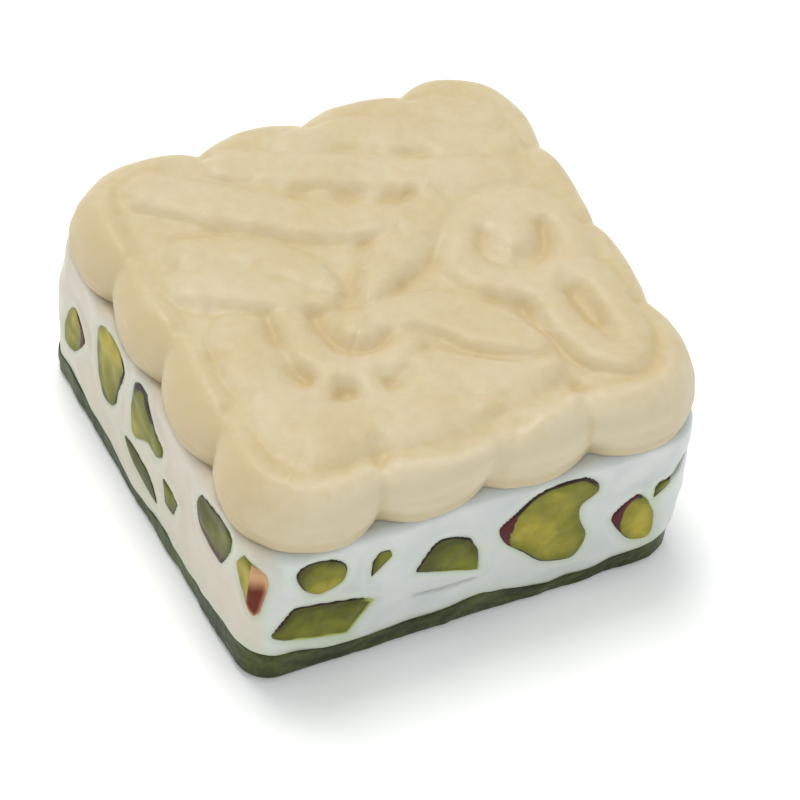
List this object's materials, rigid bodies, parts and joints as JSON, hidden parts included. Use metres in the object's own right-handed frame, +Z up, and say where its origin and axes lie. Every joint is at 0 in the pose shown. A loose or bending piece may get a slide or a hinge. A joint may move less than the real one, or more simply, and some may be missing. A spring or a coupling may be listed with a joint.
{
  "type": "pistachio nougat piece",
  "caption": "Square piece of layered nougat: thin green base, white slab with pistachio pieces at its cut sides, and a cream top moulded with lobes, leaves and flowers.",
  "frame": {"origin": "centre of the underside", "axes": "+Z up, the cut sides face -Y (front), -X (left), +X (right) and +Y (back)"},
  "size_m": [0.042, 0.042, 0.0222],
  "materials": {
    "green_layer": "dense dark green paste, faintly moist",
    "white_nougat": "smooth white nougat, soft satin",
    "cream_top": "pressed cream paste, soft satin",
    "pistachio": "cut green nut kernel with dark red skin"
  },
  "bodies": {
    "root": {"base_layer": "green_layer", "nougat": "white_nougat", "moulded_top": "cream_top", "pistachio_front_01": "pistachio", "pistachio_front_02": "pistachio", "pistachio_front_03": "pistachio", "pistachio_front_04": "pistachio", "pistachio_front_05": "pistachio", "pistachio_front_06": "pistachio", "pistachio_front_07": "pistachio", "pistachio_front_corner_08": "pistachio", "pistachio_left_09": "pistachio", "pistachio_left_10": "pistachio", "pistachio_left_11": "pistachio", "pistachio_left_12": "pistachio", "pistachio_left_13": "pistachio", "pistachio_left_14": "pistachio", "pistachio_right_15": "pistachio", "pistachio_right_16": "pistachio", "pistachio_right_17": "pistachio", "pistachio_right_18": "pistachio", "pistachio_right_19": "pistachio", "pistachio_right_20": "pistachio", "pistachio_right_21": "pistachio", "pistachio_back_22": "pistachio", "pistachio_back_23": "pistachio", "pistachio_back_24": "pistachio", "pistachio_back_25": "pistachio", "pistachio_back_26": "pistachio", "pistachio_back_27": "pistachio", "pistachio_back_28": "pistachio"}
  },
  "joints": []
}
